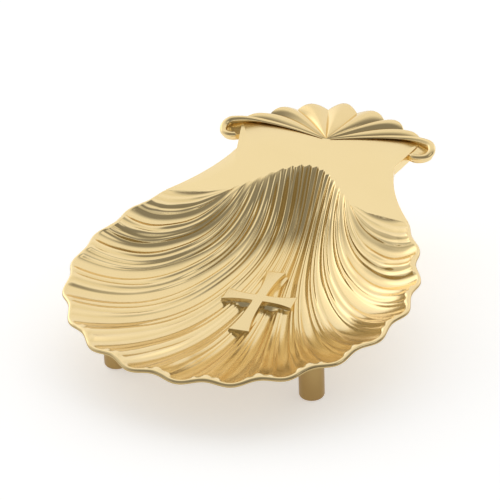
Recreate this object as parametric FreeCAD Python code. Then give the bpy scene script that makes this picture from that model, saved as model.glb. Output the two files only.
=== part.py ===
"""Baptismal shell: a cast brass scallop bowl on three peg feet, with a cross in it and a palmette crest.

The bowl, neck and crest are drawn in the shell's own frame: the plane of the ground rim is z = 0, its
origin is the centre of the bowl's rim, and +Y runs along the neck. The shell is then tilted and stood
on its feet, with the table at z = 0 and the origin under the middle of the whole object.
"""
import FreeCAD, Part
import math
import os

V = FreeCAD.Vector

# Bowl
rim_radius = 57.0           # rim centre to the crown of a scallop, outside the lip
rim_lip = 1.2               # width of the flat lip that is ground on the rim
rim_edge = 1.4              # height of the lip's outer edge
scallop_pitch = 17.0        # degrees from one flute to the next, round the rim
scallop_depth = 1.6         # how far the rim draws in between two flutes
shoulder_angle = 135.0      # degrees from the pouring lip to the shoulder, where the rim meets the neck
shoulder_flare = 3.0        # how far the rim swings out towards the shoulder
flare_angle = 25.0          # degrees of rim that the swing takes
under_neck = 8.0            # degrees past the shoulder to which the outside runs on, under the neck
bowl_depth = 21.2           # rim plane to the floor of the middle flute
wall = 2.6                  # thickness of the floor
flute_floor = 3.6           # degrees from the middle of a flute to the edge of its flat floor
flute_relief = 1.9          # floor of a flute to the ridge beside it, out towards the rim
throat_relief = 0.8         # depth of the teeth that the flutes cut in the neck's edge
ridge_fade = 0.6            # how fast the ridges die away at the rim, less being later
scallop_fade = 2.0          # how fast the scallops die away from the rim

# Flute lines: each pair is a value for the middle flute and its change towards the shoulders
bend_across = (-0.22, 0.68)     # sideways share of a line's run at which it is drawn round
bend_along = (0.38, 0.69)       # the same along the neck
floor_place = (0.77, 0.90)      # how far along a line its lowest point comes
floor_flatness = 2.65           # 2 is a round hollow, and more is flatter with steeper walls
depth_fade = 0.92               # how the depth falls off towards the shoulders

# Throat, the arch in the neck's edge that the flutes come out of
arch_foot = 43.5            # rim centre to the foot of the arch
arch_rise = 24.5            # foot of the arch to its crown
arch_half_width = 30.0      # middle of the arch to its foot
flute_start = 0.165         # sideways start of a flute, in mm for each degree of its place on the rim

# Neck plate
neck_thickness = 3.0
neck_half_width = 28.3      # half the neck where it is narrowest
neck_waist = 73.0           # rim centre to that waist
neck_sweep = V(31.5, 57.0, 0)   # point that draws the neck's hollow side in
neck_corner = V(33.0, 91.5, 0)  # end of the plate's side, beside a scroll
neck_end = 101.5            # rim centre to the end of the plate, under the crest
neck_end_half_width = 12.0

# Crest
crest_heel = 85.3           # rim centre to the point where the lobes meet
lobe_valleys = (V(5.2, 103.2, 0), V(15.7, 101.0, 0), V(24.2, 96.1, 0), V(33.5, 89.4, 0))    # ends of the valleys
valley_height = 0.8         # plate to the valleys between the lobes
lobe_height = 2.2           # plate to the top of a lobe, where it is highest
lobe_rise = 2.4             # tip of a lobe past the valleys beside it
lobe_tip = 0.45             # radius of a lobe's tip, as a share of its greatest radius
lobe_root = 0.05            # share of a lobe's length at which it starts, out of the heel
lobe_root_radius = 0.2
lobe_sides = 8              # flats round a lobe
volute_centre = V(33.6, 85.2, 0)
volute_radius = 4.2         # middle of the scroll's rod
volute_rod = 2.7            # width and height of that rod
volute_web = 0.9            # thickness of the web inside the scroll
volute_web_level = -1.0     # underside of the web
volute_from = -112.0        # degrees, where the scroll ends against the neck
volute_to = 122.0           # degrees, where it leaves the crest's wing

# Cross
cross_centre = V(0, 13.4, -17.6)    # middle of its top face
cross_pitch = -4.2          # degrees that its foot is raised
cross_waist = 1.95          # half the width of an arm at the crossing
cross_arms = {"head": (17.1, 2.85), "side": (12.0, 3.2), "foot": (20.5, 3.2)}   # length, half end width
cross_hollow = 0.65         # how far an arm's edge bows in from a straight taper
cross_gap = 0.12            # solder under the cross
cross_blank = 12.0          # height of the casting before its underside is fitted to the flutes

# Feet
rim_tilt = 7.0              # degrees that the neck stands higher than the pouring lip
belly_clearance = 1.0       # table to the lowest point of the bowl
foot_diameter = 8.0
foot_places = {"front_left": (-32.5, -27.0), "front_right": (32.5, -27.0), "rear": (0.0, 54.0)}
boss_height = 0.6           # least height of the pad that is cast for a foot

# Pins and studs
stud_diameter = 3.0
stud_in_foot = 3.2
stud_in_boss = 1.9
rivet_diameter = 2.0
rivet_places = {"upper": 22.0, "lower": 4.0}    # rim centre to a rivet of the cross
rivet_in_cross = 1.4
rivet_head = 0.4            # peened end under the bowl
crest_pin_diameter = 1.8
crest_pin_place = V(8.6, 99.1, 0)
crest_pin_in_crest = 1.0
fit_gap = 0.05              # clearance all round a pin or stud

# Making of the surfaces
least_strip = 6.0           # degrees, narrowest strip beside the neck
line_spans = 12             # stretches that a flute line is drawn through
cut_margin = 3.0            # how far a cutting body stands past the face that it cuts


def ease(t):
    """Smooth step from 0 to 1."""
    t = min(max(t, 0.0), 1.0)
    return t * t * (3.0 - 2.0 * t)


def arch_line(x):
    """Edge of the throat: a raised cosine over the arch's width."""
    share = min(abs(x) / arch_half_width, 1.0)
    return arch_foot + arch_rise * (1.0 + math.cos(math.pi * share)) / 2.0


def rim_point(angle, inset, scallop):
    """Point of the rim at an angle from the pouring lip: a circle with a scallop for each flute."""
    draw_in = scallop * (1.0 - math.cos(2.0 * math.pi * angle / scallop_pitch)) / 2.0
    swing = shoulder_flare * ease((abs(angle) - shoulder_angle + flare_angle) / flare_angle)
    radius = rim_radius - inset + swing - draw_in
    turn = math.radians(angle)
    return V(radius * math.sin(turn), -radius * math.cos(turn), 0)


def bowl_point(angle, s, end_angle, depth, inset, back, tooth, relief):
    """Point a share s of the way along one flute line, from the throat to the rim.

    In plan the line is a parabola that leaves the throat close to the middle and fans out. Its depth
    falls to a flat floor and rises again, less and less towards the shoulders. Across the lines the rim
    and the throat's edge are cosine waves, and the ridges are the upper halves of one.
    """
    spread = min(abs(angle) / shoulder_angle, 1.0) ** 2
    wave = math.cos(2.0 * math.pi * angle / scallop_pitch)
    start = V(flute_start * angle, 0, 0)
    start.y = arch_line(start.x) + back + tooth * (wave - 1.0) / 2.0 * (1.0 - s)
    end = rim_point(angle, inset, 0.0)
    across = bend_across[0] + bend_across[1] * spread
    along = bend_along[0] + bend_along[1] * spread
    bend = V(start.x + across * (end.x - start.x), start.y + along * (end.y - start.y), 0)
    point = start * (1.0 - s) ** 2 + bend * 2.0 * s * (1.0 - s) + end * s ** 2
    point += (rim_point(angle, inset, scallop_depth) - end) * s ** scallop_fade
    fullness = max(math.cos(math.radians(90.0 * angle / end_angle)), 0.0) ** depth_fade
    place = s ** (floor_place[0] + floor_place[1] * spread)
    fall = 1.0 - abs(2.0 * place - 1.0) ** floor_flatness
    swell = s * abs(math.sin(math.pi * s)) ** ridge_fade * min(1.0, 3.0 * fullness)
    point.z = -depth * fullness * fall + relief * max(-wave, 0.0) * swell
    return point


def sewn_solid(faces):
    """Closed solid of faces that share their edges."""
    shell = Part.makeShell(faces)
    shell.sewShape()
    solid = Part.makeSolid(Part.makeShell(shell.Faces))
    if solid.Volume < 0:
        solid.reverse()
    return solid


def line_angles(end_angle, steps):
    """Places of the flute lines: those steps on from the middle of every flute."""
    count = int(end_angle / scallop_pitch) + 1
    places = [i * scallop_pitch + step for i in range(-count, count) for step in steps]
    inside = [angle for angle in places if abs(angle) < end_angle - least_strip]
    return [-end_angle] + inside + [end_angle]


def fluted_solid(height, steps, end_angle, *form):
    """Inside or outside of the bowl as a solid with a flat top: ruled strips between flute lines."""
    lines = []
    for angle in line_angles(end_angle, steps):
        points = [bowl_point(angle, i / line_spans, end_angle, *form) for i in range(line_spans + 1)]
        curve = Part.BSplineCurve()
        curve.interpolate(points)
        lines.append(curve.toShape())
    strips = []
    border = [lines[0], lines[-1]]
    for one, other in zip(lines, lines[1:]):
        strips.append(Part.makeRuledSurface(one, other))
        border.append(Part.makeLine(one.Vertexes[0].Point, other.Vertexes[0].Point))
        border.append(Part.makeLine(one.Vertexes[1].Point, other.Vertexes[1].Point))
    walls = [edge.extrude(V(0, 0, height)) for edge in border]
    top = Part.Wire(Part.__sortEdges__([edge.translated(V(0, 0, height)) for edge in border]))
    return sewn_solid(strips + walls + [Part.Face(top)])


def bowl_cavity():
    """The fluted hollow, open upwards past the rim plane: flat floors with a sharp ridge between two."""
    steps = (flute_floor, scallop_pitch / 2.0, scallop_pitch - flute_floor)
    form = (bowl_depth, rim_lip, 0.0, throat_relief, flute_relief)
    return fluted_solid(cut_margin, steps, shoulder_angle, *form)


def bowl_body():
    """The bowl's outside, from the rim plane down, before it is hollowed: plain but for the scallops."""
    steps = (0.0, scallop_pitch / 2.0)
    form = (bowl_depth + wall - rim_edge, 0.0, wall, 0.0, 0.0)
    return fluted_solid(rim_edge, steps, shoulder_angle + under_neck, *form).translated(V(0, 0, -rim_edge))


def neck_block():
    """The neck plate: hollow sides from the shoulders to the waist, a straight flare, and a tapered end."""
    shoulder = rim_point(shoulder_angle, 0.0, scallop_depth)
    waist = V(neck_half_width, neck_waist, 0)
    tail = V(neck_end_half_width, neck_end, 0)
    side = Part.BezierCurve()
    side.setPoles([shoulder, neck_sweep, waist])
    right = [side.toShape(), Part.makeLine(waist, neck_corner), Part.makeLine(neck_corner, tail)]
    left = [edge.mirror(V(0, 0, 0), V(1, 0, 0)) for edge in right]
    end = Part.makeLine(tail, V(-tail.x, tail.y, 0))
    front = Part.makeLine(V(-shoulder.x, shoulder.y, 0), shoulder)
    outline = Part.Wire(Part.__sortEdges__(right + [end] + left + [front]))
    return Part.Face(outline).extrude(V(0, 0, -neck_thickness))


def flat_solid(outlines):
    """Closed solid of flat faces."""
    return sewn_solid([Part.Face(Part.makePolygon(points + points[:1])) for points in outlines])


def crest_lobe(near, far):
    """One lobe: a slender cone of flats from the heel to the span between two valleys, with a bevelled tip."""
    heel = V(0, crest_heel, 0)
    radius = (far - near).Length / 2.0
    axis = (near + far) * 0.5 + V(0, 0, lobe_height - radius) - heel
    length = axis.Length
    rings = []
    for radius_there, place in ((lobe_root_radius, lobe_root * length), (radius, length),
                                (lobe_tip * radius, length + lobe_rise)):
        turns = [2.0 * math.pi * i / lobe_sides for i in range(lobe_sides)]
        rings.append([V(radius_there * math.cos(t), radius_there * math.sin(t), place) for t in turns])
    outlines = [rings[0], rings[-1]]
    for low, high in zip(rings, rings[1:]):
        for i in range(lobe_sides):
            outlines.append([low[i - 1], low[i], high[i], high[i - 1]])
    lobe = flat_solid(outlines)
    lobe.Placement = FreeCAD.Placement(heel, FreeCAD.Rotation(V(0, 0, 1), axis))
    return lobe


def crest_fan():
    """The palmette: a thin core flat on the plate, and a lobe between each valley and the next."""
    valleys = [V(-p.x, p.y, 0) for p in lobe_valleys[::-1]] + list(lobe_valleys)
    outline = [V(0, crest_heel, 0)] + valleys
    fan = Part.Face(Part.makePolygon(outline + outline[:1])).extrude(V(0, 0, valley_height))
    for near, far in zip(valleys, valleys[1:]):
        fan = fan.fuse(crest_lobe(near, far))
    reach = 2.0 * fan.BoundBox.DiagonalLength
    return fan.cut(Part.makeBox(reach, reach, reach, V(-reach / 2.0, 0, -reach)))


def volute(side):
    """Scroll at one end of the crest: a square rod round a thin web, ending against the neck's side."""
    centre = V(side * volute_centre.x, volute_centre.y, 0)
    corner = V(volute_radius - volute_rod / 2.0, 0, -volute_rod / 2.0)
    face = Part.makePlane(volute_rod, volute_rod, corner, V(0, -1, 0), V(1, 0, 0))
    face.rotate(V(0, 0, 0), V(0, 0, 1), volute_from if side > 0 else 180.0 - volute_to)
    scroll = face.revolve(V(0, 0, 0), V(0, 0, 1), volute_to - volute_from)
    web = Part.makeCylinder(volute_radius, volute_web, V(0, 0, volute_web_level))
    return scroll.fuse(web).translated(centre)


def cross_outline():
    """Latin cross with four flared arms, each edge a shallow arc."""
    turns = (("head", 90.0), ("side", 0.0), ("foot", -90.0), ("side", 180.0))
    edges = []
    for name, turn in turns:
        length, end = cross_arms[name]
        middle = V((cross_waist + length) / 2.0, (cross_waist + end) / 2.0 - cross_hollow, 0)
        lower_middle = V(middle.x, -middle.y, 0)
        upper = Part.Arc(V(cross_waist, cross_waist, 0), middle, V(length, end, 0)).toShape()
        lower = Part.Arc(V(cross_waist, -cross_waist, 0), lower_middle, V(length, -end, 0)).toShape()
        for edge in (upper, lower, Part.makeLine(V(length, end, 0), V(length, -end, 0))):
            edge.rotate(V(0, 0, 0), V(0, 0, 1), turn)
            edges.append(edge)
    return Part.Wire(Part.__sortEdges__(edges))


def cross_blank_solid():
    """The cross as a flat casting, in its place, reaching down past the bowl's floor."""
    blank = Part.Face(cross_outline()).extrude(V(0, 0, -cross_blank))
    blank.rotate(V(0, 0, 0), V(1, 0, 0), cross_pitch)
    return blank.translated(cross_centre)


def rod(diameter, x, y, bottom, top):
    """Upright round rod between two levels."""
    return Part.makeCylinder(diameter / 2.0, top - bottom, V(x, y, bottom))


def levels(solid, x, y, diameter):
    """Lowest and highest level of a solid within an upright rod."""
    reach = solid.BoundBox.DiagonalLength
    core = solid.common(rod(diameter, x, y, -reach, reach)).optimalBoundingBox(False, False)
    return core.ZMin, core.ZMax


def stood(shape, height):
    """Shape of the shell's frame, tilted and lifted onto its feet."""
    result = shape.copy()
    tilt = FreeCAD.Placement(V(0, 0, height), FreeCAD.Rotation(V(1, 0, 0), rim_tilt))
    result.Placement = tilt.multiply(result.Placement)
    return result


def build():
    """All pieces by name, standing on the table under the rim's centre."""
    cavity = bowl_cavity()
    neck = neck_block()
    body = bowl_body().fuse(neck)
    casting = body.cut(cavity)
    pieces = {}

    # Cross, fitted to the flutes, and its two rivets through the floor
    cross = cross_blank_solid().common(cavity.translated(V(0, 0, cross_gap)))
    hole = rivet_diameter + 2.0 * fit_gap
    for name, y in rivet_places.items():
        underside = levels(body, 0.0, y, hole)[0] - rivet_head
        top = cross_centre.z - (cross_centre.y - y) * math.tan(math.radians(cross_pitch)) - rivet_in_cross
        casting = casting.cut(rod(hole, 0.0, y, underside - cut_margin, top))
        cross = cross.cut(rod(hole, 0.0, y, underside, top + fit_gap))
        pieces["cross_rivet_" + name] = rod(rivet_diameter, 0.0, y, underside, top)
    pieces["cross"] = cross

    # Crest, seated on the plate, and its two pins through the plate
    crest = crest_fan()
    for side in (-1, 1):
        crest = crest.fuse(volute(side))
    crest = crest.cut(neck)
    hole = crest_pin_diameter + 2.0 * fit_gap
    for name, side in (("left", -1), ("right", 1)):
        x, y = side * crest_pin_place.x, crest_pin_place.y
        casting = casting.cut(rod(hole, x, y, -neck_thickness - cut_margin, cut_margin))
        crest = crest.cut(rod(hole, x, y, -neck_thickness, crest_pin_in_crest + fit_gap))
        pieces["crest_pin_" + name] = rod(crest_pin_diameter, x, y, -neck_thickness, crest_pin_in_crest)
    pieces["crest"] = crest

    # Tilt and height of the stand, from the lowest point of the tilted bowl
    height = belly_clearance - stood(body, 0.0).optimalBoundingBox(False, False).ZMin
    pieces = {name: stood(shape, height) for name, shape in pieces.items()}
    casting = stood(casting, height)
    standing_body = stood(body, height)
    standing_cavity = stood(cavity, height)

    # Feet, each on a pad cast under the bowl and held by a stud
    for name, (x, y) in foot_places.items():
        belly = levels(standing_body, x, y, foot_diameter)
        seat = belly[0] - boss_height
        boss = rod(foot_diameter, x, y, seat, belly[1]).cut(standing_cavity).cut(standing_body)
        casting = casting.fuse(max(boss.Solids, key=lambda solid: -solid.BoundBox.ZMin))
        hole = stud_diameter + 2.0 * fit_gap
        casting = casting.cut(rod(hole, x, y, seat - cut_margin, seat + stud_in_boss + fit_gap))
        bottom = seat - min(stud_in_foot, seat / 2.0)
        bore = rod(hole, x, y, bottom - fit_gap, seat + cut_margin)
        pieces["foot_" + name] = rod(foot_diameter, x, y, 0.0, seat).cut(bore)
        pieces["foot_stud_" + name] = rod(stud_diameter, x, y, bottom, seat + stud_in_boss)
    pieces["shell_casting"] = casting
    return pieces


def main():
    os.makedirs("parts", exist_ok=True)
    pieces = build()
    whole = Part.makeCompound(list(pieces.values())).optimalBoundingBox(False, False)
    middle = V(0, -(whole.YMin + whole.YMax) / 2.0, 0)
    for name, shape in sorted(pieces.items()):
        placed = shape.translated(middle)
        placed.exportStep("parts/" + name + ".step")
        print(name, "solids", len(placed.Solids), "volume", round(placed.Volume, 1), "valid", placed.isValid())
    print("size", round(whole.XLength, 1), round(whole.YLength, 1), round(whole.ZLength, 1),
          "lowest", round(whole.ZMin, 3), "moved", round(middle.y, 3))


main()
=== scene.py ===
import math

import bmesh
import bpy
import numpy as np
from mathutils import Matrix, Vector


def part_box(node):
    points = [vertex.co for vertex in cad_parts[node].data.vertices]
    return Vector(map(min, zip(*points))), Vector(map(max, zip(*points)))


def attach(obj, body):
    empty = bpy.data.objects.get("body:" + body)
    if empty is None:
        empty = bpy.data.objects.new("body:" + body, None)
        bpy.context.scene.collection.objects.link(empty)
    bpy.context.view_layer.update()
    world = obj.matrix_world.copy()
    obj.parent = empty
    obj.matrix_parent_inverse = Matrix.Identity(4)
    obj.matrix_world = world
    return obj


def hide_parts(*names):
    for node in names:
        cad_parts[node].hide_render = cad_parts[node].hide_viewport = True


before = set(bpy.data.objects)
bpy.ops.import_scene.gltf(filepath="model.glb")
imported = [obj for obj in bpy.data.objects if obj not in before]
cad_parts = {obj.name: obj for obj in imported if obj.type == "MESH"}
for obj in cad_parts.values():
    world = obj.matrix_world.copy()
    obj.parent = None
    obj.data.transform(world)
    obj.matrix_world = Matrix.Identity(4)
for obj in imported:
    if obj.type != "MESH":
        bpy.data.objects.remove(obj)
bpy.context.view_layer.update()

# Bowl
# A brass scallop, cast in one with the neck plate and gilt, with painted shade outside. Smooth channels fan
# out from a narrow throat, three fine riblets stand between two of them, and the rim is ground to a narrow
# lip.
# Sizes are in mm, in the shell's own frame: the rim's plane is z = 0, its centre the origin, the neck along
# +Y.
rim_radius, rim_lip, rim_edge = 57.0, 1.2, 0.9
shoulder, swing_start, swing_out = 135.0, 110.0, 3.0
pitch, scallop = 17.0, 1.6
depth, floor_depth, wall = 21.2, 20.8, 2.6
neck_end, neck_thickness = 101.5, 3.0
tilt = math.radians(7.0)
casting_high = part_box("shell_casting")[1]
lift = casting_high.z * 1000 - neck_end * math.sin(tilt)
slide = casting_high.y * 1000 - neck_end * math.cos(tilt) - neck_thickness * math.sin(tilt)


def stand(points):
    """Points of the shell's own frame in mm, tilted about X, slid and lifted onto the feet, in metres."""
    x, y, z = np.moveaxis(np.asarray(points, float), -1, 0)
    back = y * math.cos(tilt) - z * math.sin(tilt) + slide
    up = y * math.sin(tilt) + z * math.cos(tilt) + lift
    return np.stack([x, back, up], -1) / 1000


def smooth(value, start=0.0, end=1.0):
    """Smooth step, 0 up to start and 1 from end: three squares less two cubes of the share between them."""
    t = np.clip((value - start) / (end - start), 0, 1)
    return t * t * (3 - 2 * t)


def rim_line(angle, inset, draw_in):
    """Rim in plan: a circle that swings out at the shoulders, and draws in as a cosine between two flutes."""
    radius = rim_radius - inset + swing_out * smooth(np.abs(angle), swing_start, shoulder)
    radius = radius - draw_in * (1 - np.cos(2 * np.pi * angle / pitch)) / 2
    turn = np.radians(angle)
    return radius * np.sin(turn), -radius * np.cos(turn)


# The arch of the throat, then how far along and across a line bends, at the middle and its gain at the
# shoulders, then the powers and shares of its fall.
arch_foot, arch_rise, arch_reach, arch_step = 43.5, 24.5, 30.0, 0.165
bend_across, bend_across_gain, bend_along, bend_along_gain = -0.22, 0.68, 0.38, 0.69
lead_in, lead_in_gain, brow = 0.77, 0.90, 0.28
floor_power, fade_power, rim_dip = 2.65, 0.92, 0.3


def flute_lines(angle, s, end_angle, deep, inset, back, tooth):
    """Surface of lines that leave the arch of the throat and fan out to the rim, s being the share of a line.

    In plan a line is a parabola. Its depth falls to a flat floor and rises again, one less a power of the
    distance from its middle, taken on a power of s that makes the wall start gently under the middle of the
    arch. The depth fades as a power of a cosine towards the shoulders. The arch is a raised cosine, its teeth
    are a cosine that fades down the wall, and the rim dips a little in each flute.
    """
    angle, s = angle[:, None], s[None, :]
    spread = np.minimum(np.abs(angle) / shoulder, 1) ** 2
    flute = np.cos(2 * np.pi * angle / pitch)
    x0 = arch_step * angle
    y0 = arch_foot + arch_rise * (1 + np.cos(np.pi * np.minimum(np.abs(x0) / arch_reach, 1))) / 2 + back
    y0 = y0 - tooth * (1 - flute) / 2 * (1 - s) ** 3
    x1, y1 = rim_line(angle, inset, 0)
    x2, y2 = rim_line(angle, inset, scallop)
    bend_x = x0 + (bend_across + bend_across_gain * spread) * (x1 - x0)
    bend_y = y0 + (bend_along + bend_along_gain * spread) * (y1 - y0)
    x = x0 * (1 - s) ** 2 + bend_x * 2 * s * (1 - s) + x2 * s ** 2
    y = y0 * (1 - s) ** 2 + bend_y * 2 * s * (1 - s) + y2 * s ** 2
    fullness = np.maximum(np.cos(np.pi / 2 * angle / end_angle), 0) ** fade_power
    start = lead_in + lead_in_gain * spread + brow * (1 - s) ** 5 * (1 - spread)
    fall = 1 - np.abs(2 * s ** start - 1) ** floor_power
    dip = rim_dip * flute * s ** 8 * np.minimum(1, 3 * fullness)
    return np.stack([x, y, -deep * fullness * fall - dip], -1)


def upright(surface):
    """Unit normals of a grid of points, turned upwards, from the cross product of its two differences."""
    normal = np.cross(np.gradient(surface, axis=0), np.gradient(surface, axis=1))
    normal /= np.maximum(np.linalg.norm(normal, axis=-1, keepdims=True), 1e-12)
    return normal * np.where(normal[..., 2:] < 0, -1, 1)


def skin(name, loops, slot, nodes, ring=False, sharp=35.0, **shares):
    """Closed mesh over a grid in metres: each row is a closed loop, quads join it to the next row, and the
    first and last rows are joined for a ring, or filled. shares are values of the points, its attributes."""
    rows, cols = loops.shape[:2]
    index = np.arange(rows * cols).reshape(rows, cols)
    following = np.roll(index, -1, axis=0) if ring else index[1:]
    here = index if ring else index[:-1]
    quads = np.stack([here, np.roll(here, -1, 1), np.roll(following, -1, 1), following], -1).reshape(-1, 4)
    ends = [] if ring else [index[0].tolist(), index[-1].tolist()]
    mesh = bpy.data.meshes.new(name)
    mesh.from_pydata(loops.reshape(-1, 3).tolist(), [], quads.tolist() + ends)
    for share, values in shares.items():
        mesh.attributes.new(share, "FLOAT", "POINT").data.foreach_set("value", np.float32(values).ravel())
    bm = bmesh.new()
    bm.from_mesh(mesh)
    bmesh.ops.remove_doubles(bm, verts=bm.verts, dist=1e-6)
    bmesh.ops.recalc_face_normals(bm, faces=bm.faces)
    bm.to_mesh(mesh)
    bm.free()
    mesh.polygons.foreach_set("use_smooth", np.ones(len(mesh.polygons), bool))
    mesh.set_sharp_from_angle(angle=math.radians(sharp))
    piece = bpy.data.objects.new(name, mesh)
    bpy.context.scene.collection.objects.link(piece)
    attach(piece, "root")
    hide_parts(*nodes)
    return piece


tooth_depth = 1.35
angles = np.linspace(-shoulder, shoulder, 637)
run = np.linspace(0, 1, 100)
run = run - 0.06 * np.sin(2 * np.pi * run)
inside = flute_lines(angles, run, shoulder, floor_depth, rim_lip, 0.0, tooth_depth)
across = np.gradient(inside, angles, axis=0)
along = np.gradient(inside, axis=1)
spacing = np.linalg.norm(np.cross(across, along), axis=-1) / np.linalg.norm(along, axis=-1)

# Between two channels stands a ridge, a cosine whose height follows the width of the flute up to a limit. It
# starts below the arch, is higher at the shoulders and lower at the rim, and softens on the bowl's sides.
ridge_share, ridge_limit, shoulder_gain, rim_height, side_softening = 0.08, 1.0, 0.5, 0.4, 0.7
out = np.abs(angles)[:, None]
off_ridge = (np.mod(angles, pitch) - pitch / 2)[:, None]
edge = np.minimum(1, (shoulder - out) / 12)
sides = smooth(out, 35, 65) * (1 - smooth(out, 90, 104))
ridge = (1 + np.cos(2 * np.pi * off_ridge / pitch)) / 2
ridge = ridge * np.minimum(ridge_share * pitch * spacing, ridge_limit) * smooth(run, 0, 0.3)
ridge = ridge * (1 + shoulder_gain * smooth(out, 70, 110))
ridge = ridge * (rim_height + (1 - rim_height) * smooth(1 - run, 0, 0.15))
ridge = ridge * (1 - side_softening * smooth(run, 0.4, 0.65) * sides)

# The riblets are finer cosines on the ridge, each a little uneven by hand, lower in the middle of the bowl
# and along the outer half of its sides.
riblet_pitch, riblet_reach, riblet_share, riblet_limit = 4, 6, 0.8, 0.5
middle_height, riblet_softening, uneven = 0.55, 0.9, 0.2
on_ridge = np.abs(off_ridge) < riblet_reach
riblet = np.where(on_ridge, (1 + np.cos(2 * np.pi * off_ridge / riblet_pitch)) / 2, 0)
handwork = 1 + uneven * np.sin(angles[:, None] * 0.9 + run * 17)
height = np.minimum(riblet_share * spacing, riblet_limit) * riblet * handwork * smooth(run, 0.02, 0.22)
softer = 1 - riblet_softening * smooth(run, 0.4, 0.7) * sides
height = height * (middle_height + (1 - middle_height) * smooth(out, 20, 80) * softer)
rim_level = inside[:, -1, 2].copy()
inside = inside + upright(inside) * (edge * (ridge + height))[..., None]
inside[:, 0, 2], inside[:, -1, 2] = 0, rim_level

# The outside has no flutes, only the scallops of the rim, and the lip has a slight bead and a rounded edge.
outer_margin = 8
lip_flat, lip_bead, lip_drop = 0.25, 0.1, 0.95
outside = flute_lines(angles, np.linspace(1, 0, 22), shoulder + outer_margin, depth + wall - rim_edge, 0.0,
                      wall, 0.0)
outside[..., 2] -= rim_edge
round_over = np.linspace(0, np.pi / 2, 7)
lip_share = np.concatenate([[0.15], lip_flat + (1 - lip_flat) * np.sin(round_over)])
lip_rise = np.concatenate([[0.08], lip_bead - lip_drop * (1 - np.cos(round_over))])
outer_edge = np.stack([*rim_line(angles, 0, scallop), rim_level], -1)
lip = inside[:, -1:] + (outer_edge - inside[:, -1])[:, None] * lip_share[:, None]
lip[..., 2] += lip_rise

# Hands and cloths have worn the riblets and the lip bright, not the grooves. The outside, from the lower half
# of
# the lip on, is painted darker: painted shade, for the shade below the rim and the dim table it reflects.
lip_wear, lip_unshaded = 0.6, 5
worn = np.where(on_ridge, 2 * riblet - 1, 0) * np.ones_like(run)
worn = np.concatenate([worn, np.full(lip.shape[:2], lip_wear), np.zeros(outside.shape[:2])], 1)
under = np.ones_like(worn)
under[:, :len(run) + lip_unshaded] = 0
bowl = skin("shell_bowl", stand(np.concatenate([inside, lip, outside], 1)), "shell", ["shell_casting"],
            worn=worn, under=under)


def node(tree, kind, at, **settings):
    """New shader node at a place in the tree, with its settings."""
    made = tree.nodes.new(kind)
    made.location = at
    for key, value in settings.items():
        setattr(made, key, value)
    return made


def gilding_group():
    """Gilt surface: slow drift between two golds, less where it is worn, fine cast grain in the relief, and
    gloss that follows the grain."""
    wear_share, spot_share = -0.45, 0.08
    tree = bpy.data.node_groups.new("gilding", "ShaderNodeTree")
    for name, kind, side in (("Gold", "Color", "INPUT"), ("Shade", "Color", "INPUT"),
                             ("Gloss", "Float", "INPUT"), ("Grain", "Float", "INPUT"),
                             ("Wear", "Float", "INPUT"), ("Color", "Color", "OUTPUT"),
                             ("Roughness", "Float", "OUTPUT"), ("Height", "Float", "OUTPUT")):
        tree.interface.new_socket(name, in_out=side, socket_type="NodeSocket" + kind)
    link = tree.links.new
    source = node(tree, "NodeGroupInput", (-900, 0))
    result = node(tree, "NodeGroupOutput", (600, 0))
    place = node(tree, "ShaderNodeTexCoord", (-900, -300))
    drift = node(tree, "ShaderNodeTexNoise", (-650, 200))
    drift.inputs["Scale"].default_value = 70
    drift.inputs["Detail"].default_value = 3
    grain = node(tree, "ShaderNodeTexNoise", (-650, -150))
    grain.inputs["Detail"].default_value = 4
    link(place.outputs["Object"], drift.inputs["Vector"])
    link(place.outputs["Object"], grain.inputs["Vector"])
    link(source.outputs["Grain"], grain.inputs["Scale"])
    rubbed = node(tree, "ShaderNodeMath", (-400, 250), operation="MULTIPLY_ADD")
    rubbed.inputs[1].default_value = wear_share
    link(source.outputs["Wear"], rubbed.inputs[0])
    link(drift.outputs["Fac"], rubbed.inputs[2])
    held = node(tree, "ShaderNodeClamp", (-220, 250))
    link(rubbed.outputs[0], held.inputs["Value"])
    tone = node(tree, "ShaderNodeMix", (0, 250), data_type="RGBA")
    link(held.outputs[0], tone.inputs["Factor"])
    link(source.outputs["Gold"], tone.inputs["A"])
    link(source.outputs["Shade"], tone.inputs["B"])
    link(tone.outputs["Result"], result.inputs["Color"])
    spot = node(tree, "ShaderNodeMath", (-400, -50), operation="MULTIPLY_ADD")
    spot.inputs[1].default_value = spot_share
    spot.inputs[2].default_value = -spot_share / 2
    link(grain.outputs["Fac"], spot.inputs[0])
    satin = node(tree, "ShaderNodeMath", (-200, -50), operation="ADD")
    link(spot.outputs[0], satin.inputs[0])
    link(source.outputs["Gloss"], satin.inputs[1])
    link(satin.outputs[0], result.inputs["Roughness"])
    link(grain.outputs["Fac"], result.inputs["Height"])
    return tree


gilding = gilding_group()


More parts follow.
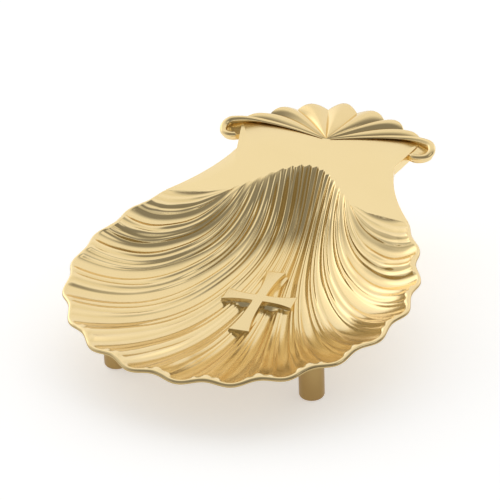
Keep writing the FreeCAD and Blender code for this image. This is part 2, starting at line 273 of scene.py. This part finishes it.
def gilt(name, gold, shade, gloss, grain, relief, wear=None, painted_shade=None):
    """Gilt brass: a metal whose colour, gloss and grain come from the gilding group. wear names the attribute
    that says how worn a point is, and the last argument is a painted shade: a darker colour laid on the
    outside, where the attribute under is one, for the shade it stands in."""
    grain_height = 0.0002
    material = bpy.data.materials.new(name)
    material.use_nodes = True
    tree = material.node_tree
    metal = tree.nodes["Principled BSDF"]
    metal.inputs["Metallic"].default_value = 1.0
    finish = node(tree, "ShaderNodeGroup", (-500, 0), node_tree=gilding)
    finish.inputs["Gold"].default_value = (*gold, 1)
    finish.inputs["Shade"].default_value = (*shade, 1)
    finish.inputs["Gloss"].default_value = gloss
    finish.inputs["Grain"].default_value = grain
    if wear:
        rubbed = node(tree, "ShaderNodeAttribute", (-750, 0), attribute_name=wear)
        tree.links.new(rubbed.outputs["Fac"], finish.inputs["Wear"])
    bump = node(tree, "ShaderNodeBump", (-250, -250))
    bump.inputs["Strength"].default_value = relief
    bump.inputs["Distance"].default_value = grain_height
    colour = finish.outputs["Color"]
    # Painted shade: where the attribute under is one, the colour is mixed to the darker colour given for the
    # outside.
    if painted_shade:
        outer = node(tree, "ShaderNodeAttribute", (-500, 300), attribute_name="under")
        dim = node(tree, "ShaderNodeMix", (-250, 200), data_type="RGBA")
        dim.inputs["B"].default_value = (*painted_shade, 1)
        tree.links.new(outer.outputs["Fac"], dim.inputs["Factor"])
        tree.links.new(colour, dim.inputs["A"])
        colour = dim.outputs["Result"]
    tree.links.new(colour, metal.inputs["Base Color"])
    tree.links.new(finish.outputs["Roughness"], metal.inputs["Roughness"])
    tree.links.new(finish.outputs["Height"], bump.inputs["Height"])
    tree.links.new(bump.outputs["Normal"], metal.inputs["Normal"])
    return material


# Painted shade: the bowl's outside and the lower edge of its lip take the dark brown given last, for the
# shade below the rim and the dim table it reflects.
bowl.data.materials.append(gilt("gilt_bowl", gold=(0.89, 0.71, 0.39), shade=(0.80, 0.62, 0.31), gloss=0.14,
                                grain=900, relief=0.03, wear="worn", painted_shade=(0.50, 0.37, 0.17)))

# Neck plate
# The flat plate behind the throat, cast with the bowl and filed flat. Its hollow sides run from the shoulders
# of the bowl to a waist and flare to the end that carries the crest.
shoulder_point = np.array([*rim_line(np.array(shoulder), 0, scallop), 0])
hollow_pull, waist = np.array([31.5, 57.0, 0]), np.array([28.3, 73.0, 0])
corner, tail = np.array([33.0, 91.5, 0]), np.array([12.0, neck_end, 0])
plate_under = -2.97
plate_edge = ((0.45, 0.0), (0.13, -0.1), (0.0, -0.42), (0.0, -2.6), (0.35, plate_under))
inner_edge = np.concatenate([inside[0, :0:-1], inside[:, 0], inside[-1, 1:]])
t = np.linspace(0, 1, 60)[:, None]
hollow = shoulder_point * (1 - t) ** 2 + hollow_pull * 2 * t * (1 - t) + waist * t ** 2
half = np.concatenate([hollow, waist + (corner - waist) * t[1:], corner + (tail - corner) * t[1:],
                       tail + (tail * (0, 1, 0) - tail) * t[1:]])
outline = np.concatenate([half * (-1, 1, 1), half[-2::-1]])


def measured(path):
    """Share of a path's length at each of its points."""
    length = np.concatenate([[0], np.cumsum(np.linalg.norm(np.diff(path, axis=0), axis=1))])
    return length / length[-1]


inner_share = measured(inner_edge)
outer_line = np.stack([np.interp(inner_share, measured(outline), outline[:, k]) for k in range(3)], -1)
inward = inner_edge - outer_line
inward /= np.linalg.norm(inward, axis=1, keepdims=True)
between = inner_edge * 0.5 + outer_line * 0.5
plate = [inner_edge, between]
plate += [outer_line + inward * inset + (0, 0, level) for inset, level in plate_edge]
plate += [between + (0, 0, plate_under), inner_edge + (0, 0, plate_under)]
neck = skin("shell_neck", stand(np.stack(plate, 1)), "shell", ["shell_casting"])
neck.data.materials.append(gilt("gilt_plate", gold=(0.90, 0.72, 0.39), shade=(0.87, 0.69, 0.36), gloss=0.24,
                                grain=2200, relief=0.005))

# Crest
# A palmette cast on its own and soldered to the plate: round lobes fan out from a point, and at each side a
# long band sweeps out to a scroll, a rod bent round a shallow pocket.
heel = np.array([0, 85.3, 0])
valleys = np.array([[5.2, 103.2, 0.5], [15.7, 101.0, 0.5], [24.2, 96.1, 0.5], [33.5, 89.4, -0.15]])
valleys = np.concatenate([valleys[::-1] * (-1, 1, 1), valleys])
crowns = np.array([[0, 3.4, 2.1], [1.0, 1.8, 2.0], [1.2, 1.0, 1.8], [0.6, 0.9, 1.7]])
crowns = np.concatenate([crowns[:0:-1] * (-1, 1, 1), crowns])
lobes, lobe_points, crease_bow = len(crowns), 28, 2.5
valley_power, lobe_power, round_power, tip_fall = 0.6, 0.75, 0.9, 0.3
u = np.linspace(0, lobes, lobes * lobe_points + 1)
v = np.linspace(0, 1, 40)
lobe = np.minimum(u.astype(int), lobes - 1)
step = (u - lobe)[:, None]


def fan(foot, crown, bow):
    """Lines from the heel to the foot of the edge, the valleys rising as a power of their run. Between two
    valleys a lobe swells as a power of a sine, and each line bows back as a sine, the outer ones more."""
    swell = crown * np.maximum(np.sin(np.pi * step), 0) ** round_power
    points = heel + (foot - heel)[:, None] * np.stack([v, v, v ** valley_power], -1)
    rising = v ** lobe_power * (1 - tip_fall * v ** 10)
    points = points + swell[:, None] * np.stack([v ** 3, v ** 3, rising], -1)
    points[..., 1] += crease_bow * bow * np.sin(np.pi * v ** 1.4)
    return points


bowed = np.clip((np.abs(u - lobes / 2) - 0.5) / 2, 0, 1)[:, None]
front = fan(valleys[lobe] * (1 - step) + valleys[lobe + 1] * step, crowns[lobe], bowed)
top = front[:, -1:]
outward = (top - heel) * (1, 1, 0)
outward /= np.linalg.norm(outward, axis=-1, keepdims=True)
crest_edge = ((0.3, 1.0, 0.25), (0.45, 0.4, 0.0), (0.45, 0.0, 0.3))
behind = [top * (1, 1, kept) + outward * reach - (0, 0, fall) for reach, kept, fall in crest_edge]
behind.append(heel + 0 * top - (0, 0, 0.3))
palmette = skin("crest_palmette", stand(np.concatenate([front, *behind], 1)), "crest", ["crest"])
crest_gilt = gilt("gilt_crest", gold=(0.88, 0.70, 0.38), shade=(0.80, 0.61, 0.30), gloss=0.15, grain=1800,
                  relief=0.01)
palmette.data.materials.append(crest_gilt)


def rod_along(path, radius, flat, sides):
    """Rod along a path: at each point an ellipse square to the path, of the given half width, flat being the
    share of it that is the half height."""
    forward = np.gradient(path, axis=0)
    forward /= np.linalg.norm(forward, axis=1, keepdims=True)
    side = np.cross(forward, (0, 0, 1.0))
    side /= np.linalg.norm(side, axis=1, keepdims=True)
    up = np.cross(side, forward) * flat[:, None]
    turn = np.linspace(0, 2 * np.pi, sides, endpoint=False)[None, :, None]
    return path[:, None] + radius[:, None, None] * (side[:, None] * np.cos(turn) + up[:, None] * np.sin(turn))


# The rod starts thin and flat at the heel, follows the lower edge of the palmette, thickens, and then bends
# round the pocket, where it sinks and ends round.
scroll_x, scroll_y, scroll_radius = 33.5, 85.0, 4.2
rod_radius, rod_taper, rod_start = 1.4, 0.2, 0.12
rod_level, rod_sink, lead_level = 0.9, 1.5, 0.1
bow_x, bow_y = 26, 91.0
bend = np.radians(np.linspace(60, -118, 60))
bent = np.linspace(0, 1, 60)
ring = np.stack([scroll_x + (scroll_radius - 0.5 * bent) * np.cos(bend),
                 scroll_y + (scroll_radius - 0.4 * bent) * np.sin(bend),
                 rod_level - rod_sink * smooth(bent, 0, 0.625)], -1)
lead = np.linspace(1.5, ring[0, 0], 70)[:-1]
led = lead / ring[0, 0]
drop = bow_y - np.where(lead < bow_x, 0.0476 * np.abs(lead - bow_x) ** 1.5, 0.0257 * (lead - bow_x) ** 2)
scroll = np.concatenate([np.stack([lead, drop, lead_level + (rod_level - lead_level) * led], -1), ring])
round_end = np.sqrt(np.clip(1 - ((bent - 0.96) / 0.042).clip(0, 1) ** 2, 0.01, 1))
thick = np.concatenate([rod_start + (rod_radius - rod_start) * led,
                        (rod_radius - rod_taper * bent) * round_end])
flat = np.concatenate([0.45 + 0.55 * smooth(lead, 24, 34), np.ones_like(bent)])
pocket = np.array([[0.01, -0.55], [1.6, -0.5], [3.0, -0.3], [4.2, -0.1], [4.4, -0.6], [4.4, -2.2],
                   [3.9, -2.5], [0.01, -2.5]])
round_turn = np.linspace(0, 2 * np.pi, 48, endpoint=False)[:, None]
dish = np.stack([scroll_x + pocket[:, 0] * np.cos(round_turn), scroll_y + pocket[:, 0] * np.sin(round_turn),
                 pocket[:, 1] + 0 * round_turn], -1)
rod = rod_along(scroll, thick, flat, 20)
for side, name in ((-1, "left"), (1, "right")):
    hook = skin("crest_scroll_" + name, stand(rod * (side, 1, 1)), "crest", ["crest"])
    web = skin("crest_pocket_" + name, stand(dish * (side, 1, 1)), "crest", ["crest"], ring=True)
    hook.data.materials.append(crest_gilt)
    web.data.materials.append(crest_gilt)

# Cross
# A Latin cross with flared arms, filed flat on top with crisp edges, fitted to the flutes and soldered down.
# Each arm has its turn, its length and its half width at the end.
cross_place, cross_pitch = np.array([0, 13.4, -17.6]), math.radians(-2.0)
cross_waist, flare_power = 1.75, 2.6
arms = ((0, 12.0, 3.4), (90, 16.2, 3.4), (180, 12.0, 3.4), (270, 19.4, 3.5))
cross_edge = ((0.5, 0.0), (0.22, 0.0), (0.07, -0.06), (0.0, -0.22), (0.0, -1.5))
solder_edge = ((0.1, 1.0), (0.45, 0.45), (1.1, 0.04), (1.1, -0.8))
t = np.linspace(0, 1, 14)
cross_line = []
for arm_turn, length, end in arms:
    rail = np.stack([cross_waist + (length - cross_waist) * t,
                     cross_waist + (end - cross_waist) * t ** flare_power], -1)
    tip = np.stack([np.full(5, length), np.linspace(-end, end, 7)[1:-1]], -1)
    arm = np.concatenate([rail * (1, -1), tip, rail[::-1]])[:-1]
    c, s = math.cos(math.radians(arm_turn)), math.sin(math.radians(arm_turn))
    cross_line.append(arm @ np.array([[c, s], [-s, c]]))
cross_line = np.concatenate(cross_line)
tangent = np.roll(cross_line, -1, 0) - np.roll(cross_line, 1, 0)
facing_out = np.stack([tangent[:, 1], -tangent[:, 0]], -1) / np.linalg.norm(tangent, axis=1, keepdims=True)
rows = []
for inset, level in cross_edge:
    x, y = (cross_line - facing_out * inset).T
    rows.append(np.stack([x, y * math.cos(cross_pitch) - level * math.sin(cross_pitch),
                          y * math.sin(cross_pitch) + level * math.cos(cross_pitch)], -1) + cross_place)

# The fillet of solder runs from the side wall down to the nearest points of the bowl's floor, and under them.
floor_points = inside.reshape(-1, 3)[::3]
side_wall = rows[-1]
for reach, above in solder_edge:
    solder = side_wall + np.concatenate([facing_out * reach, 0 * facing_out[:, :1]], 1)
    nearest = np.linalg.norm(solder[:, None, :2] - floor_points[None, :, :2], axis=-1).argmin(1)
    solder[:, 2] = np.minimum(floor_points[nearest, 2] + above, rows[-1][:, 2] - 0.1)
    rows.append(solder)
cross = skin("cross_flared", stand(np.stack(rows)), "cross", ["cross"])
cross.data.materials.append(gilt("gilt_cross", gold=(0.86, 0.69, 0.38), shade=(0.82, 0.64, 0.33), gloss=0.17,
                                 grain=2000, relief=0.01))

# Feet
# Three turned pegs of 8 mm brass rod with rounded lower edges, each on a stud under the bowl. The upper end
# follows the outside of the bowl and sinks a little into it.
foot_radius, foot_round, foot_shank, seat_sink = 4.0, 1.3, 4.0, 0.9
underside = stand(outside).reshape(-1, 3) * 1000
# The feet's two golds are dark brown as painted shade, for the shade of the shell above them and the dim
# table they reflect.
foot_shaded_gilt = gilt("gilt_foot_painted_shade", gold=(0.46, 0.32, 0.13), shade=(0.36, 0.23, 0.09), gloss=0.34, grain=1600,
                 relief=0.06)
corner_turn = np.linspace(-np.pi / 2, 0, 8)
radii = np.concatenate([[0.01, 1.5], foot_radius - foot_round + foot_round * np.cos(corner_turn),
                        [foot_radius, foot_radius]])
for name in ("front_left", "front_right", "rear"):
    low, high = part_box("foot_" + name)
    centre = ((low + high) / 2 * 1000).to_tuple()
    levels = np.concatenate([[0.0, 0.0], foot_round + foot_round * np.sin(corner_turn),
                             [foot_shank, high.z * 1000]])
    peg = np.stack([centre[0] + radii * np.cos(round_turn), centre[1] + radii * np.sin(round_turn),
                    levels + 0 * round_turn], -1)
    nearest = np.linalg.norm(peg[:, -1, None, :2] - underside[None, :, :2], axis=-1).argmin(1)
    seat = peg[:, -1].copy()
    seat[:, 2] = underside[nearest, 2] + seat_sink
    core = seat * (0, 0, 1) + (centre[0], centre[1], 0)
    core[:, 2] = core[:, 2].mean()
    peg = np.concatenate([peg, seat[:, None], core[:, None]], 1)
    foot = skin("foot_peg_" + name, peg / 1000, "feet", ["foot_" + name], ring=True)
    foot.data.materials.append(foot_shaded_gilt)

# Pins
# Studs, rivets and pegs of plain brass rod that hold the feet, the cross and the crest. Only the peened ends
# of the rivets and the ends of the crest's pegs show, underneath.
pin_brass = gilt("pin_brass", gold=(0.76, 0.57, 0.28), shade=(0.60, 0.42, 0.18), gloss=0.36, grain=2500,
                 relief=0.12)
for name in ("foot_stud_front_left", "foot_stud_front_right", "foot_stud_rear", "cross_rivet_upper",
             "cross_rivet_lower", "crest_pin_left", "crest_pin_right"):
    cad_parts[name].data.materials.clear()
    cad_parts[name].data.materials.append(pin_brass)

# Table
# A plain matt white table, which glows a little for the camera and in the metal's reflections, so that it
# shows as white and still takes the shell's shadow.
table_half, table_white, table_glow = 6, 0.9, 0.45
table_mesh = bpy.data.meshes.new("table")
table_mesh.from_pydata([(-table_half, -table_half, 0), (table_half, -table_half, 0),
                        (table_half, table_half, 0), (-table_half, table_half, 0)], [], [(0, 1, 2, 3)])
table = bpy.data.objects.new("table", table_mesh)
bpy.context.scene.collection.objects.link(table)
white = bpy.data.materials.new("white_table")
white.use_nodes = True
tree = white.node_tree
tree.nodes.clear()
matt = node(tree, "ShaderNodeBsdfDiffuse", (-300, 100))
matt.inputs["Color"].default_value = (table_white, table_white, table_white, 1)
glow = node(tree, "ShaderNodeEmission", (-300, -100))
glow.inputs["Strength"].default_value = table_glow
both = node(tree, "ShaderNodeAddShader", (-100, 0))
path = node(tree, "ShaderNodeLightPath", (-500, 300))
seen = node(tree, "ShaderNodeMath", (-300, 300), operation="MAXIMUM")
seen_all = node(tree, "ShaderNodeMath", (-100, 300), operation="MAXIMUM")
pick = node(tree, "ShaderNodeMixShader", (100, 100))
surface = node(tree, "ShaderNodeOutputMaterial", (300, 100))
tree.links.new(path.outputs["Is Camera Ray"], seen.inputs[0])
tree.links.new(path.outputs["Is Glossy Ray"], seen.inputs[1])
tree.links.new(seen.outputs[0], seen_all.inputs[0])
tree.links.new(path.outputs["Is Transmission Ray"], seen_all.inputs[1])
tree.links.new(matt.outputs[0], both.inputs[0])
tree.links.new(glow.outputs[0], both.inputs[1])
tree.links.new(seen_all.outputs[0], pick.inputs[0])
tree.links.new(matt.outputs[0], pick.inputs[1])
tree.links.new(both.outputs[0], pick.inputs[2])
tree.links.new(pick.outputs[0], surface.inputs["Surface"])
table_mesh.materials.append(white)

# Light
# A studio that is bright behind and beside the shell and low in front of it, with narrow lights at the sides,
# and dim elsewhere. A patch has a direction, the cosines from it where it starts and is full, and a strength.
studio_level, studio_colour = 0.28, (1.0, 0.99, 0.97, 1)
patches = (((-0.08, 0.90, 0.42), 0.22, 0.75, 0.72), ((-0.974, 0.058, 0.22), 0.51, 1.31, 0.86),
           ((-0.92, 0.29, 0.26), 0.93, 0.99, 0.55), ((0.497, 0.861, 0.105), 0.93, 0.99, 0.30),
           ((0.797, -0.056, 0.602), 0.965, 0.994, 0.75), ((0.0, -0.707, -0.707), 0.20, 0.45, 0.38))
world = bpy.data.worlds.new("studio")
bpy.context.scene.world = world
world.use_nodes = True
tree = world.node_tree
sky = tree.nodes["Background"]
ray = node(tree, "ShaderNodeTexCoord", (-1100, 0))
total = None
for mark, (toward, dim, bright, strength) in enumerate(patches):
    facing = node(tree, "ShaderNodeVectorMath", (-900, -250 * mark), operation="DOT_PRODUCT")
    facing.inputs[1].default_value = toward
    fade = node(tree, "ShaderNodeMapRange", (-650, -250 * mark), interpolation_type="SMOOTHSTEP")
    fade.inputs["From Min"].default_value = dim
    fade.inputs["From Max"].default_value = bright
    added = node(tree, "ShaderNodeMath", (-400 + 200 * mark, 0), operation="MULTIPLY_ADD")
    added.inputs[1].default_value = strength
    added.inputs[2].default_value = studio_level
    tree.links.new(ray.outputs["Generated"], facing.inputs[0])
    tree.links.new(facing.outputs["Value"], fade.inputs["Value"])
    tree.links.new(fade.outputs["Result"], added.inputs[0])
    if total:
        tree.links.new(total.outputs[0], added.inputs[2])
    total = added
tree.links.new(total.outputs[0], sky.inputs["Strength"])
sky.inputs["Color"].default_value = studio_colour

# Camera
# A long lens at the photograph's angle, turned and raised about a point of the bowl in the shell's own frame,
# rolled a little, and moved sideways and up to the photograph's framing.
turn, rise, roll = math.radians(22.734), math.radians(33.659), math.radians(-5.0)
aim, distance, sideways, upwards = np.array([0, 14.58, 0]), 762.5, -2.144, 0.178
level_right = np.array([math.cos(turn), math.sin(turn), 0])
away = np.array([math.sin(turn) * math.cos(rise), -math.cos(turn) * math.cos(rise), math.sin(rise)])
level_over = np.cross(away, level_right)
right = math.cos(roll) * level_right + math.sin(roll) * level_over
over = math.cos(roll) * level_over - math.sin(roll) * level_right
stance = aim + distance * away + sideways * right + upwards * over
axes = stand(np.array([right, over, away])) - stand(np.zeros(3))
lens = bpy.data.cameras.new("camera")
lens.sensor_width, lens.lens = 36.0, 171.06
lens.clip_start, lens.clip_end = 0.05, 50
camera = bpy.data.objects.new("camera", lens)
place = np.eye(4)
place[:3, :3] = (axes * 1000).T
place[:3, 3] = stand(stance)
camera.matrix_world = Matrix(place.tolist())
bpy.context.scene.collection.objects.link(camera)
bpy.context.scene.camera = camera
bpy.context.scene.view_settings.view_transform = "Standard"
